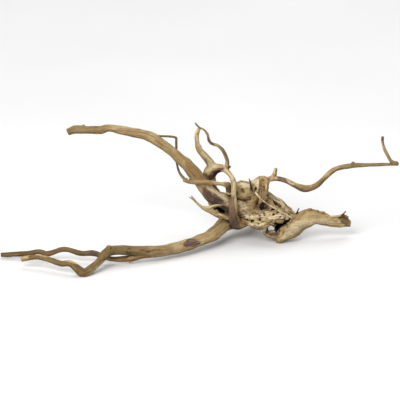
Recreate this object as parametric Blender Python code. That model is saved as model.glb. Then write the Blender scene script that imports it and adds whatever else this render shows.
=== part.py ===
"""A red moor wood root: one grown piece of bare wood, with a knotted crown, two long limbs to the
left, a thin limb to the right and a heavy sawn snag. It lies on three low points."""

import math

import bmesh
import bpy
from mathutils import Vector, noise

NAME = "moor_root"
MM = 0.001

# The routes are set out as the root is seen from the front and a little above. Each point is
# across, up the sight plane, away from the viewer, and the thickness there, in millimetres.
VIEW_TILT = math.radians(20)

# The middle of the root's box on the two level axes, in the same millimetres.
CENTRE_ACROSS = -0.7
CENTRE_DEPTH = 3.8

LIMBS = {
    "upper_limb": [
        (-150, 135, 60, 9.5), (-142, 136.7, 59, 9.5), (-124, 136.3, 57, 8.6), (-113, 136.4, 55.5, 9.2),
        (-102, 138.3, 54, 8.6), (-81, 134.2, 49, 10.5), (-57, 128.5, 43, 11.7), (-34, 113.7, 36, 10.9),
        (-22, 102.3, 32.5, 11.6), (-13.6, 95.6, 30, 13.8), (0.5, 78.7, 26, 16.2), (15, 61.2, 27, 16.5),
        (38, 52, 36, 18),
    ],
    "lower_limb": [
        (38, 35, 36, 18), (27.5, 29.3, 27, 15.5), (18.4, 20.4, 13.5, 16), (7, 13.7, 1, 13.8),
        (-23, 3.8, -20, 13.2), (-51, -0.8, -34, 12.6), (-79, 0.3, -45, 10.6), (-101.5, -0.8, -55, 11),
        (-113.8, -13.2, -69, 8.3), (-126.5, -23.2, -79.5, 9.8), (-132.5, -23, -80.5, 10.4),
        (-144.5, -14.1, -79, 7.4), (-156, -13.9, -73, 6.8), (-173, -8.1, -66, 6.1), (-186, -7.2, -61, 5.5),
        (-200, -9.6, -57, 6),
    ],
    "under_twig": [
        (-45, -3, -33, 6), (-66, -6, -41, 6.3), (-84, -9.2, -44, 7), (-101, -8.9, -45, 5.6),
        (-119, -3, -43, 7), (-134, -3.1, -40.5, 6), (-152, 1.5, -37, 5.6), (-171, -3.3, -34, 6.5),
        (-181, -1.4, -33, 6), (-200, -3.8, -30, 5.9), (-224.2, -5, -26, 5.1),
    ],
    "under_spur": [(-68, -8, -43, 3.6), (-80, -13.5, -46, 1.4)],
    "right_limb": [
        (70, 77, 46, 9), (82, 81.3, 45, 6), (96, 79.3, 40, 6), (107, 74, 35, 6.3),
        (118, 69.7, 31, 8), (130, 72.2, 26, 6.8), (140.3, 81.1, 21, 5.6), (152.6, 91.5, 16, 5.9),
        (172, 95.5, 8, 5.5), (194, 96.4, 0, 4.1), (222.5, 97, -11, 3.2),
    ],
    "right_twig": [
        (221.5, 97.5, -11, 3), (214.5, 100.5, -7, 4), (210.5, 107, -4, 3.8), (206.7, 115, 0, 3.5),
        (205, 122.5, 4, 3.5), (205.2, 128.3, 6, 3.3),
    ],
    "top_stub": [(80.5, 79, 44, 5.5), (84.5, 87, 46, 4.3), (86.5, 93, 49, 4)],
    "arch": [
        (16, 60, 34, 12.5), (12, 72, 39, 14), (11, 80, 42, 14.5), (11.5, 88, 40, 15.5),
        (17.5, 92.3, 35.5, 11.5), (27.5, 91.5, 27.5, 6.3), (34.5, 84.8, 21.5, 5.4), (37.9, 76.5, 16, 6.4),
        (38.3, 61, 10, 6.5), (38, 50, 8.5, 9), (37.5, 38, 14, 10.5), (40, 32.6, 24, 12.5),
    ],
    "arch_flank": [(12, 84, 38, 6), (16.5, 73, 35, 3.6), (21, 66, 32, 4)],
    "arch_spur": [(28, 91, 28, 4.5), (34.6, 94.9, 26.5, 2.8)],
    "fork_limb": [
        (14, 88, 39, 11), (11.8, 98.2, 37.5, 9.6), (5, 107, 36, 7.9), (-1.4, 114.5, 34, 7),
        (-3.4, 124, 33, 5), (-3.3, 132, 34, 4.7), (-0.6, 137.7, 35, 3.9),
    ],
    "fork_twig": [
        (28.4, 90, 30, 6), (30.6, 97.5, 25.5, 5), (30.1, 103.7, 24.5, 4.3), (26.2, 112.3, 22.5, 4.1),
        (20.3, 118.1, 22, 3.7), (13.5, 120.3, 22, 3.5), (10, 124.2, 23.5, 3.6), (8.7, 130.4, 25, 3),
        (4.7, 135.8, 27, 2.5), (-1, 138.8, 28.5, 2.4), (-5.9, 144, 30, 1.8),
    ],
    "cross_twig": [
        (45, 69, 34, 5.5), (31, 74, 21, 6.4), (22, 75.3, 18, 4.2), (8, 76.9, 15, 4.6),
        (-9, 76.7, 14, 4.3), (-19, 79, 14, 3.1),
    ],
    "dark_stub": [(31, 75, 21, 5), (32.8, 70, 20, 7), (33, 63.5, 19, 7)],
    "dark_twig": [
        (-15.8, 78.3, 14, 3.4), (-23, 87.5, 24, 3), (-26, 97, 38, 2.7), (-27, 106, 46, 2.8),
        (-27, 123.6, 48, 2.9), (-29, 128.1, 48, 2.6), (-49, 129.5, 47, 2.4),
    ],
    "left_rootlet": [
        (37, 35, 24, 5.5), (27, 36.3, 16, 6), (20, 39.3, 12, 5), (12, 43.2, 8, 4.2), (4.6, 47.2, 6, 3.8),
        (-0.4, 50.7, 5, 3), (-6.3, 56.6, 3.5, 2.3), (-9.8, 62, 2, 1.3),
    ],
    "left_fork": [(-5, 55.7, 3, 2.1), (-12.5, 60.3, 1, 1.2)],
    "left_strand": [(3, 48.5, 6, 3), (10, 48.5, 7, 3), (17, 50.5, 8, 2.5), (37, 52, 10, 2.6)],
    "left_web": [(3, 48, 7, 3), (13, 46, 10, 6.5), (20, 42, 14, 5)],
    "left_lip": [(15, 42, 10, 3), (26, 38.4, 13, 4.4), (37, 34, 18, 6)],
    "front_rootlet": [(62, 66, 32, 2.3), (71, 56, 18, 1.5), (85, 47, 13, 1.5), (105, 36, 22, 1.8)],
    "spike": [(60, 62, 32, 6), (58.5, 70, 25, 4.4), (57.2, 76, 23, 2.8), (55.3, 81.5, 22, 1.2)],
    "hole_strand": [(76.4, 30, 21, 2.6), (76, 17, 23, 2.4)],
}

# The masses of the crown and of the snag on its right, laid out like the limbs.
CROWN = {
    "heart": [
        (25, 57, 30, 14.5), (38, 52, 37, 22.5), (53, 49, 42, 34), (68, 45, 44, 34),
        (83, 44, 44, 26), (95, 41, 40, 20), (104, 31, 34, 12),
    ],
    "heel_to_top": [
        (28, 29, 27, 15.5), (38, 36, 34, 20.5), (49, 47, 40, 25), (59.5, 62.5, 42, 26.5),
        (68, 74.3, 44, 18), (76.5, 80, 45, 9),
    ],
    "ridge": [(76, 79, 42, 6), (72.5, 68, 32, 9.5), (70, 49, 26, 10), (60, 40, 36, 12)],
    "right_slope": [(67, 69, 46, 11), (79.5, 54.8, 47, 17.8), (90.3, 48, 45, 17.4), (99.5, 40.2, 40, 14)],
    "lower_band": [
        (50, 36, 30, 13.5), (66, 32, 21, 17.5), (78, 34.8, 19, 16.5), (88, 38, 18, 13.5), (106, 33, 32, 9),
    ],
    "shelf": [(64, 41, 36, 14), (79, 43.5, 30, 15), (91, 41, 29, 13), (101, 32, 33, 8)],
    "top_knob": [(40, 66, 30, 13.5), (49, 68, 34, 21), (66, 62, 40, 13.5)],
    "top_bump": [(46, 70, 34, 10), (47.5, 78.5, 36, 3.2)],
    "bottom_knob": [(34, 34.5, 24, 12.4), (43, 31, 28, 15.5), (59, 35, 32, 13.5)],
    "burl": [
        (11, 60, 34, 9), (19, 50, 42, 12), (32, 45, 47, 18), (47, 43, 54, 26), (63, 45, 58, 28),
        (80, 46, 54, 22), (95, 39, 43, 17), (106, 29, 35, 10),
    ],
    "back_foot": [(56, 48, 56, 24), (61, 47, 67, 15.5), (65, 42, 75, 12), (64.5, 34.5, 79, 10), (62, 27.5, 81, 8.5)],
    "back_root": [(50, 50, 58, 16), (41, 55, 74, 8.5), (33, 57, 84, 6), (26, 55, 91, 4)],
    "snag": [
        (93, 28, 36, 16), (103, 28, 32, 27.6), (112, 31.2, 31, 22), (119.5, 35, 31.5, 21), (127, 37.5, 32.5, 16.5),
        (136, 37, 34.5, 15.1), (147, 32.8, 37, 12), (159, 32.2, 39, 12.8), (171, 32, 41, 11.5),
    ],
    "flange": [(106, 29, 31, 14), (94, 18, 25.5, 13), (90, 12, 25, 8), (90, 6, 25, 5)],
    "flange_tip": [(97, 20, 26, 11.5), (81, 17.6, 23.5, 7.6), (71.5, 19.7, 23, 1.8)],
    "flange_rim": [(72, 19, 23, 2.2), (80, 16.5, 24, 4.5), (91, 12, 25.5, 6)],
    "behind_hole": [(74, 44, 48, 14), (86, 35, 38, 13), (89.5, 26, 33, 12.5), (98, 22, 30, 12)],
}

# The snag and its flange are thinner from front to back than they are high.
DEPTH_RATIO = {"snag": 0.75, "flange": 0.8, "flange_tip": 0.8}

# How far bumps and hollows stray from the even radius, as a share of it, and how long they are.
LIMB_RELIEF = 0.13
CROWN_RELIEF = 0.16
RELIEF_LENGTH = 11

# The rings along a limb stand about a diameter apart, within these millimetres.
CLOSEST_RINGS = 3
WIDEST_RINGS = 7

# Corners to a ring, by the largest radius of the limb in millimetres.
RING_CORNERS = ((3.2, 6), (5, 8), (9, 10), (math.inf, 12))

# The first corner of a limb's first ring lies this way from its centre.
FIRST_CORNER = (0.3, 0.2, 1)

FLOOR_BLOCK = (600, 400, 60)

WOOD_COLOUR = (0.43, 0.31, 0.15, 1)
WOOD_ROUGHNESS = 0.75
SMOOTH_BELOW = math.radians(50)


def place(across, rise, depth):
    """A point of the sight plane and the way behind it, in the root's own frame."""
    height = (rise - depth * math.sin(VIEW_TILT)) / math.cos(VIEW_TILT)
    return Vector((across - CENTRE_ACROSS, depth - CENTRE_DEPTH, height))


def catmull(before, start, end, after, t):
    """A smooth value between start and end that heads from before and towards after."""
    return 0.5 * (
        2 * start
        + (end - before) * t
        + (2 * before - 5 * start + 4 * end - after) * t * t
        + (3 * start - before - 3 * end + after) * t * t * t
    )


def smooth_route(points):
    """Centres and radii along a limb, a little closer together where it is thin."""
    knots = [(place(*point[:3]), point[3] / 2) for point in points]
    first, last = knots[0], knots[-1]
    before_first = (2 * first[0] - knots[1][0], first[1])
    after_last = (2 * last[0] - knots[-2][0], last[1])
    knots = [before_first] + knots + [after_last]
    stations = []
    for before, start, end, after in zip(knots, knots[1:], knots[2:], knots[3:]):
        gap = max(CLOSEST_RINGS, min(WIDEST_RINGS, start[1] + end[1]))
        steps = max(1, round((end[0] - start[0]).length / gap))
        for step in range(steps):
            t = step / steps
            centre = catmull(before[0], start[0], end[0], after[0], t)
            radius = start[1] + (end[1] - start[1]) * t * t * (3 - 2 * t)
            stations.append((centre, radius))
    stations.append(last)
    return stations


def sweep(name, points, relief, depth_ratio=1.0):
    """A closed limb: uneven rings around its route, turned with it, and a flat face at each end."""
    stations = smooth_route(points)
    widest = max(radius for _, radius in stations)
    sides = next(corners for limit, corners in RING_CORNERS if widest < limit)
    away = Vector((0, math.cos(VIEW_TILT), -math.sin(VIEW_TILT)))
    mesh = bmesh.new()
    rings = []
    side = Vector(FIRST_CORNER)
    for index, (centre, radius) in enumerate(stations):
        ahead = stations[min(index + 1, len(stations) - 1)][0]
        behind = stations[max(index - 1, 0)][0]
        along = (ahead - behind).normalized()
        side = (side - along * side.dot(along)).normalized()
        across = along.cross(side)
        ring = []
        for corner in range(sides):
            angle = math.tau * corner / sides
            out = side * math.cos(angle) + across * math.sin(angle)
            uneven = noise.noise((centre + out * radius) / RELIEF_LENGTH)
            spoke = out * radius * (1 + relief * uneven)
            spoke -= away * spoke.dot(away) * (1 - depth_ratio)
            ring.append(mesh.verts.new((centre + spoke) * MM))
        rings.append(ring)
    for ring, following in zip(rings, rings[1:]):
        for corner in range(sides):
            beside = (corner + 1) % sides
            mesh.faces.new((ring[corner], ring[beside], following[beside], following[corner]))
    mesh.faces.new(rings[0][::-1])
    mesh.faces.new(rings[-1])
    bmesh.ops.recalc_face_normals(mesh, faces=mesh.faces[:])
    data = bpy.data.meshes.new(name)
    mesh.to_mesh(data)
    mesh.free()
    return bpy.data.objects.new(name, data)


def apply_modifiers(target):
    """The target keeps its shape as its modifiers leave it, and loses the modifiers."""
    depsgraph = bpy.context.evaluated_depsgraph_get()
    shaped = bpy.data.meshes.new_from_object(target.evaluated_get(depsgraph))
    target.modifiers.clear()
    target.data = shaped


def grow_together(limbs):
    """Every limb and mass as one solid."""
    root = limbs[0]
    root.name = NAME
    bpy.context.scene.collection.objects.link(root)
    others = bpy.data.collections.new("limbs")
    bpy.context.scene.collection.children.link(others)
    for limb in limbs[1:]:
        others.objects.link(limb)
    union = root.modifiers.new("union", "BOOLEAN")
    union.operation = "UNION"
    union.operand_type = "COLLECTION"
    union.collection = others
    union.solver = "EXACT"
    apply_modifiers(root)
    for limb in limbs[1:]:
        bpy.data.objects.remove(limb)
    bpy.data.collections.remove(others)
    return root


def rest_on_floor(root):
    """Trims the low points to small flat spots in one level plane."""
    mesh = bmesh.new()
    bmesh.ops.create_cube(mesh, size=1)
    bmesh.ops.scale(mesh, vec=[length * MM for length in FLOOR_BLOCK], verts=mesh.verts[:])
    data = bpy.data.meshes.new("floor_cut")
    mesh.to_mesh(data)
    mesh.free()
    cutter = bpy.data.objects.new("floor_cut", data)
    cutter.location.z = -FLOOR_BLOCK[2] / 2 * MM
    bpy.context.scene.collection.objects.link(cutter)
    trim = root.modifiers.new("trim", "BOOLEAN")
    trim.operation = "DIFFERENCE"
    trim.object = cutter
    trim.solver = "EXACT"
    apply_modifiers(root)
    bpy.data.objects.remove(cutter)


def wood():
    """Bare washed wood, tan and dull."""
    material = bpy.data.materials.new("bare_wood")
    material.use_nodes = True
    shader = material.node_tree.nodes["Principled BSDF"]
    shader.inputs["Base Color"].default_value = WOOD_COLOUR
    shader.inputs["Roughness"].default_value = WOOD_ROUGHNESS
    shader.inputs["Metallic"].default_value = 0
    material.diffuse_color = WOOD_COLOUR
    return material


def main():
    for old in list(bpy.data.objects):
        bpy.data.objects.remove(old)
    limbs = []
    for name, points in CROWN.items():
        limbs.append(sweep(name, points, CROWN_RELIEF, DEPTH_RATIO.get(name, 1)))
    for name, points in LIMBS.items():
        limbs.append(sweep(name, points, LIMB_RELIEF))
    root = grow_together(limbs)
    rest_on_floor(root)
    root.data.materials.clear()
    root.data.materials.append(wood())
    root.data.shade_smooth()
    root.data.set_sharp_from_angle(angle=SMOOTH_BELOW)


main()
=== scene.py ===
"""The looks of a red moor wood root: one grown piece of bare wood with its grain, stains, pits and
hollows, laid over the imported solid."""

import math

import bpy
import numpy as np
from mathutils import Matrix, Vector, noise


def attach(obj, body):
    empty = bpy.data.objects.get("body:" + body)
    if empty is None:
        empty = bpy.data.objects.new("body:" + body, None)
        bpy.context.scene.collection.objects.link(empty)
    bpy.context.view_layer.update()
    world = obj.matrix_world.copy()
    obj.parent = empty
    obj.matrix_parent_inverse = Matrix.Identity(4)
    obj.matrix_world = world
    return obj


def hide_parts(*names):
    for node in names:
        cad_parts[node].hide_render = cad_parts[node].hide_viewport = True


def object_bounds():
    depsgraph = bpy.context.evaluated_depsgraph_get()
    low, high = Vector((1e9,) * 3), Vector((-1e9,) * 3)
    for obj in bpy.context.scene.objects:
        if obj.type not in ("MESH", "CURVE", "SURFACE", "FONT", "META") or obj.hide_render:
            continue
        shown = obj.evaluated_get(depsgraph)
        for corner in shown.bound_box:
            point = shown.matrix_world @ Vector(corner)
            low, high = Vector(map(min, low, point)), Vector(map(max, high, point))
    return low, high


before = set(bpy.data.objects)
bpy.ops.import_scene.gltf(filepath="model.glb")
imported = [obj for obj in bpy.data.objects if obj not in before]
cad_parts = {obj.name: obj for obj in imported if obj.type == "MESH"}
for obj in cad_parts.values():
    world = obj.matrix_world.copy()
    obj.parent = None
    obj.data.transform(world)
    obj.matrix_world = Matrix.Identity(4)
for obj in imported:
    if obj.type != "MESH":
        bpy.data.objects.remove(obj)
cad_low, cad_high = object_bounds()

MM = 0.001
STEP = 0.62
MOST_TRIANGLES = 198000

# The photograph's 400 by 400 frame: the size of a pixel in millimetres, and where the root lies in it.
PHOTO_MM = 1.13
PHOTO_MIDDLE = 200
PHOTO_GROUND = 250
VIEW_TILT = math.radians(20)
CENTRE_ACROSS = -0.7
CENTRE_DEPTH = 3.8

# Where the search for wood behind a place in that frame starts and ends, and its step, in millimetres.
NEAREST = -110
FURTHEST = 110
SIGHT_STEP = 0.3

# Limbs, as seen from the front and a little above: across, up, away from the viewer, and thickness.
LIMBS = {
    "upper_limb": [
        (-150, 135, 60, 9.5), (-142, 136.7, 59, 9.5), (-124, 136.3, 57, 8.6), (-113, 136.4, 55.5, 9.2),
        (-102, 138.3, 54, 8.6), (-81, 134.2, 49, 10.5), (-57, 128.5, 43, 11.7), (-34, 113.7, 36, 10.9),
        (-22, 102.3, 32.5, 11.6), (-13.6, 95.6, 30, 13.8), (0.5, 78.7, 26, 16.2), (15, 61.2, 27, 16.5),
        (38, 52, 36, 18),
    ],
    "lower_limb": [
        (38, 35, 36, 18), (27.5, 29.3, 27, 15.5), (18.4, 20.4, 13.5, 16), (7, 13.7, 1, 13.8),
        (-23, 3.8, -20, 13.2), (-51, -0.8, -34, 12.6), (-79, 0.3, -45, 10.6), (-101.5, -0.8, -55, 11),
        (-113.8, -13.2, -69, 8.3), (-126.5, -23.2, -79.5, 9.8), (-132.5, -23, -80.5, 10.4),
        (-144.5, -14.1, -79, 7.4), (-156, -13.9, -73, 6.8), (-173, -8.1, -66, 6.1),
        (-186, -7.2, -61, 5.5), (-200, -9.6, -57, 6),
    ],
    "under_twig": [
        (-45, -3, -33, 6), (-66, -6, -41, 6.3), (-84, -9.2, -44, 7), (-101, -8.9, -45, 5.6),
        (-119, -3, -43, 7), (-134, -3.1, -40.5, 6), (-152, 1.5, -37, 5.6), (-171, -3.3, -34, 6.5),
        (-181, -1.4, -33, 6), (-200, -3.8, -30, 5.9), (-224.2, -5, -26, 5.1),
    ],
    "under_spur": [(-68, -8, -43, 3.6), (-80, -13.5, -46, 1.4)],
    "right_limb": [
        (70, 77, 46, 9), (82, 81.3, 45, 6), (96, 79.3, 40, 6), (107, 74, 35, 6.3), (118, 69.7, 31, 8),
        (130, 72.2, 26, 6.8), (140.3, 81.1, 21, 5.6), (152.6, 91.5, 16, 5.9), (172, 95.5, 8, 5.5),
        (194, 96.4, 0, 4.1), (222.5, 97, -11, 3.2),
    ],
    "right_twig": [
        (221.5, 97.5, -11, 3), (214.5, 100.5, -7, 4), (210.5, 107, -4, 3.8), (206.7, 115, 0, 3.5),
        (205, 122.5, 4, 3.5), (205.2, 128.3, 6, 3.3),
    ],
    "top_stub": [(80.5, 79, 44, 5.5), (84.5, 87, 46, 4.3), (86.5, 93, 49, 4)],
    "arch": [
        (16, 60, 34, 12.5), (12, 72, 39, 14), (11, 80, 42, 14.5), (11.5, 88, 40, 15.5),
        (17.5, 92.3, 35.5, 11.5), (27.5, 91.5, 27.5, 6.3), (34.5, 84.8, 21.5, 5.4),
        (37.9, 76.5, 16, 6.4), (38.3, 61, 10, 6.5), (38, 50, 8.5, 9), (37.5, 38, 14, 10.5),
        (40, 32.6, 24, 12.5),
    ],
    "arch_flank": [(12, 84, 38, 6), (16.5, 73, 35, 3.6), (21, 66, 32, 4)],
    "arch_spur": [(28, 91, 28, 4.5), (34.6, 94.9, 26.5, 2.8)],
    "fork_limb": [
        (14, 88, 39, 11), (11.8, 98.2, 37.5, 9.6), (5, 107, 36, 7.9), (-1.4, 114.5, 34, 7),
        (-3.4, 124, 33, 5), (-3.3, 132, 34, 4.7), (-0.6, 137.7, 35, 3.9),
    ],
    "fork_twig": [
        (28.4, 90, 30, 6), (30.6, 97.5, 25.5, 5), (30.1, 103.7, 24.5, 4.3), (26.2, 112.3, 22.5, 4.1),
        (20.3, 118.1, 22, 3.7), (13.5, 120.3, 22, 3.5), (10, 124.2, 23.5, 3.6), (8.7, 130.4, 25, 3),
        (4.7, 135.8, 27, 2.5), (-1, 138.8, 28.5, 2.4), (-5.9, 144, 30, 1.8),
    ],
    "cross_twig": [
        (45, 69, 34, 5.5), (31, 74, 21, 6.4), (22, 75.3, 18, 4.2), (8, 76.9, 15, 4.6),
        (-9, 76.7, 14, 4.3), (-19, 79, 14, 3.1),
    ],
    "dark_stub": [(31, 75, 21, 5), (32.8, 70, 20, 7), (33, 63.5, 19, 7)],
    "dark_twig": [
        (-15.8, 78.3, 14, 3.4), (-23, 87.5, 24, 3), (-26, 97, 38, 2.7), (-27, 106, 46, 2.8),
        (-27, 123.6, 48, 2.9), (-29, 128.1, 48, 2.6), (-49, 129.5, 47, 2.4),
    ],
    "left_rootlet": [
        (37, 35, 24, 5.5), (27, 36.3, 16, 6), (20, 39.3, 12, 5), (12, 43.2, 8, 4.2),
        (4.6, 47.2, 6, 3.8), (-0.4, 50.7, 5, 3), (-6.3, 56.6, 3.5, 2.3), (-9.8, 62, 2, 1.3),
    ],
    "left_fork": [(-5, 55.7, 3, 2.1), (-12.5, 60.3, 1, 1.2)],
    "left_strand": [(3, 48.5, 6, 3), (10, 48.5, 7, 3), (17, 50.5, 8, 2.5), (37, 52, 10, 2.6)],
    "left_web": [(3, 48, 7, 3), (13, 46, 10, 6.5), (20, 42, 14, 5)],
    "left_lip": [(15, 42, 10, 3), (26, 38.4, 13, 4.4), (37, 34, 18, 6)],
    "front_rootlet": [(62, 66, 32, 2.3), (71, 56, 18, 1.5), (85, 47, 13, 1.5), (105, 36, 22, 1.8)],
    "spike": [(60, 62, 32, 4.4), (58.5, 70, 25, 3.2), (57.2, 76, 23, 2.2), (55.3, 81.5, 22, 1.2)],
    "hole_strand": [(76.4, 30, 21, 2.6), (76, 17, 23, 2.4)],
}

# The masses of the crown and of the snag on its right, laid out like the limbs.
CROWN = {
    "heart": [
        (25, 57, 30, 14.5), (38, 52, 37, 22.5), (53, 49, 42, 34), (68, 45, 44, 34), (83, 44, 44, 26),
        (95, 41, 40, 20), (104, 31, 34, 12),
    ],
    "heel_to_top": [
        (28, 29, 27, 15.5), (38, 36, 34, 20.5), (49, 47, 40, 25), (59.5, 62.5, 42, 26.5),
        (68, 74.3, 44, 18), (76.5, 80, 45, 9),
    ],
    "ridge": [(76, 79, 42, 6), (72.5, 68, 32, 9.5), (70, 49, 26, 10), (60, 40, 36, 12)],
    "right_slope": [
        (67, 69, 46, 11), (79.5, 54.8, 47, 17.8), (90.3, 48, 45, 17.4), (99.5, 40.2, 40, 14),
    ],
    "lower_band": [
        (50, 36, 30, 13.5), (66, 32, 21, 17.5), (78, 34.8, 19, 16.5), (88, 38, 18, 13.5),
        (106, 33, 32, 9),
    ],
    "shelf": [(64, 41, 36, 14), (79, 43.5, 30, 15), (91, 41, 29, 13), (101, 32, 33, 8)],
    "top_knob": [(40, 66, 30, 13.5), (49, 68, 34, 21), (66, 62, 40, 13.5)],
    "top_bump": [(46, 70, 34, 10), (47.5, 78.5, 36, 3.2)],
    "bottom_knob": [(34, 34.5, 24, 12.4), (43, 31, 28, 15.5), (59, 35, 32, 13.5)],
    "burl": [
        (11, 60, 34, 9), (19, 50, 42, 12), (32, 45, 47, 18), (47, 43, 54, 26), (63, 45, 58, 28),
        (80, 46, 54, 22), (95, 39, 43, 17), (106, 29, 35, 10),
    ],
    "back_foot": [
        (56, 48, 56, 24), (61, 47, 67, 15.5), (65, 42, 75, 12), (64.5, 34.5, 79, 10),
        (62, 27.5, 81, 8.5),
    ],
    "back_root": [(50, 50, 58, 16), (41, 55, 74, 8.5), (33, 57, 84, 6), (26, 55, 91, 4)],
    "snag": [
        (93, 28, 36, 16), (103, 28, 32, 27.6), (112, 31.2, 31, 22), (119.5, 35, 31.5, 21),
        (127, 37.5, 32.5, 16.5), (136, 37, 34.5, 15.1), (147, 32.8, 37, 12), (159, 32.2, 39, 12.8),
        (171, 32, 41, 11.5),
    ],
    "flange": [(106, 29, 31, 14), (94, 18, 25.5, 13), (90, 12, 25, 8), (90, 6, 25, 5)],
    "flange_tip": [(97, 20, 26, 11.5), (81, 17.6, 23.5, 7.6), (71.5, 19.7, 23, 1.8)],
    "flange_rim": [(72, 19, 23, 2.2), (80, 16.5, 24, 4.5), (91, 12, 25.5, 6)],
    "behind_hole": [(74, 44, 48, 14), (86, 35, 38, 13), (89.5, 26, 33, 12.5), (98, 22, 30, 12)],
}

# The snag and its flange are thinner from front to back than they are high.
DEPTH_RATIO = {"snag": 0.75, "flange": 0.8, "flange_tip": 0.8}

# Thin growth that only the finer surface shows, laid out like the limbs.
HAIRS = {
    "snag_hair": [(109.8, 41, 31, 3), (110.8, 44, 29, 1.9), (112.3, 47.6, 27, 1.3)],
    "snag_root_left": [(101, 41.5, 33, 4), (104, 43.6, 32, 3), (107, 42.3, 32, 3)],
    "snag_strand": [(144, 36.9, 36, 3.2), (153, 38.1, 35.5, 2.4), (160, 39, 35, 2.2)],
    "snag_thorn": [
        (158, 37.4, 36, 2.6), (161.6, 39.8, 34.5, 1.9), (164.2, 42.4, 33.5, 1.6),
        (165.8, 44.2, 32.8, 1.3),
    ],
    "snag_lip": [(158, 38, 37, 3), (163, 39.4, 37, 3.4), (168, 36.5, 39, 4)],
    "snag_flake_a": [(119, 43.4, 32, 5), (123.6, 46, 31.6, 2.8), (127.4, 46.8, 31, 1.5)],
    "snag_flake_b": [(128, 43.2, 33, 5), (132, 44.7, 32.6, 2.6), (135.4, 44.9, 32.4, 1.4)],
    "snag_flake_c": [(134.6, 41.6, 34, 5), (138.6, 43.2, 33.6, 2.8), (142.2, 43.4, 33.4, 1.4)],
    "cross_spur_a": [(-14, 77, 14, 3), (-15.4, 81.9, 12.5, 1.7)],
    "cross_spur_b": [(-10.6, 77, 14, 3), (-12.2, 81.3, 12, 1.7)],
    "column_edge_twig": [(14, 76, 24, 2.4), (17, 71.5, 26, 2.2), (20.5, 67, 27, 2.4)],
    "arm_thorn": [(37, 79, 15, 4), (33.5, 79, 13.5, 1.8)],
    "limb_knuckle": [(172, 96.5, 8, 5), (172.4, 99.8, 7.5, 2.8)],
    "twig_end_knob": [(219.8, 98, -10, 4), (221.5, 99.6, -10, 3)],
    "fork_bump_a": [(0, 117, 33.5, 5), (1.6, 117.2, 33, 3)],
    "fork_bump_b": [(0.6, 114, 33, 5), (2.6, 113.6, 33, 3)],
    "rootlet_bark": [
        (64, 64.2, 30, 1.5), (67, 60.1, 22.6, 1.6), (71, 56.2, 18, 1.3), (77.6, 51, 15.4, 1.5),
        (85, 47.2, 13, 1.2), (91, 43.4, 15.4, 1.6), (96, 41.2, 17.4, 1.3), (104, 36.6, 21.8, 1.5),
    ],
    "stub_end": [(33, 65, 19, 7), (34.5, 61, 20, 5), (37, 58, 21, 2.5)],
    "arch_top": [(20.5, 93.5, 34, 8.5), (25.5, 95, 30, 5)],
    "stub_thorn": [(84, 84, 45, 4), (87, 87.5, 43, 2.4)],
    "kink_knob": [(-132, -25, -81, 8), (-134.5, -27, -81.5, 5)],
    "knee_knob": [(-101, 2.5, -56, 8), (-104.5, 4.3, -56.5, 5)],
    "upper_bump": [(-13, 97.5, 29, 8), (-10.4, 100.2, 28.5, 4.5)],
    "upper_tip_bump": [(-133, 140, 58, 5), (-131, 141.8, 58, 3)],
}

# Thicker strips that flatten the flange into the snag.
SHEETS = [
    [(74, 20.2, 23.4, 2.6), (84, 20.8, 23.8, 5), (97, 25, 24.6, 7)],
    [(79, 17.2, 23.6, 3.6), (88, 17.4, 24, 6), (100, 22, 25, 9)],
    [(84.5, 14.2, 24, 3.6), (92, 13.8, 24.4, 6), (104, 19, 26, 10)],
    [(89.6, 10.6, 24.4, 3.6), (97, 13.8, 25, 5.6), (110, 21.6, 28, 9)],
    [(100, 30, 26.5, 10), (112, 31, 27.6, 12), (122, 33, 29.6, 11), (134, 34.6, 32, 8)],
]

# Cuts along the line of sight: the upper limb's tip, the snag's end and the right side of the hole.
CUTS = [
    [(-153.4, 149.2, 34, 24), (-153.4, 149.2, 60, 24), (-153.4, 149.2, 84, 24)],
    [(178.6, 42.6, 20, 24), (178.6, 42.6, 41, 24), (178.6, 42.6, 62, 24)],
    [(82.6, 24.4, 6, 3.8), (82.6, 24.4, 35, 3.8), (82.6, 24.4, 64, 3.8)],
]

# How softly one form grows into another, or a cut rounds off, in millimetres.
LIMB_FILLET = 2.2
TWIG_FILLET = 1.0
CROWN_FILLET = 2.0
SHEET_FILLET = 3.0
STRAND_FILLET = 1.2
PIT_FILLET = 0.8
GROOVE_FILLET = 0.5
CUT_FILLET = 0.4
TWIG_RADIUS = 3.2

# Pits of the front: across and down in the photograph, half widths, turn, depth and where to start.
PITS = [
    (256.1, 188.1, 0.6, 1.8, -5, 2), (252.5, 220.6, 1.4, 0.7, 24, 3.5),
    (260.3, 214.6, 0.6, 1.7, -35, 2.2), (264, 214.6, 1.3, 0.5, 15, 2.4),
    (273.6, 214.2, 1.5, 0.55, 30, 3), (278.4, 212.3, 1.8, 0.6, 30, 2.2),
    (272.9, 209.3, 2.3, 1.2, 14, 6), (267.4, 200.4, 0.9, 1.3, 0, 3.5), (267.9, 195.4, 0.8, 1.5, 0, 3),
    (292.6, 212.8, 1.7, 1, -38, 3), (289.6, 211.2, 1.3, 0.5, -38, 2.2), (242.2, 181.6, 0.6, 1.4, 0, 2),
    (251.2, 188.5, 1.2, 1, 0, 3), (264.6, 185.6, 1.6, 3, 8, 1.4), (262, 206, 6.5, 5.2, 0, 3.2),
    (263.5, 208.8, 4.2, 2, 8, 3), (243.4, 190.5, 4.6, 4.4, 0, 1.3),
    (219.6, 209.7, 7.6, 2.8, -5, 11, 18), (217, 209.2, 4.5, 2, -5, 7, 18),
    (225, 220.2, 3.6, 0.7, -8, 3), (246.5, 219.5, 1.8, 0.45, -15, 2), (248.8, 197.4, 2, 0.8, 42, 2),
    (250.2, 199.2, 1.2, 0.4, 42, 2), (285, 212.2, 1.4, 0.6, 25, 1.5), (267.5, 219, 1.6, 0.45, 30, 2.2),
    (259.5, 219, 1.6, 0.45, -30, 2.2), (281, 216.5, 1.6, 0.6, 35, 1.6),
    (285.6, 217.5, 1.5, 0.5, 35, 1.4),
]

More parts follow.
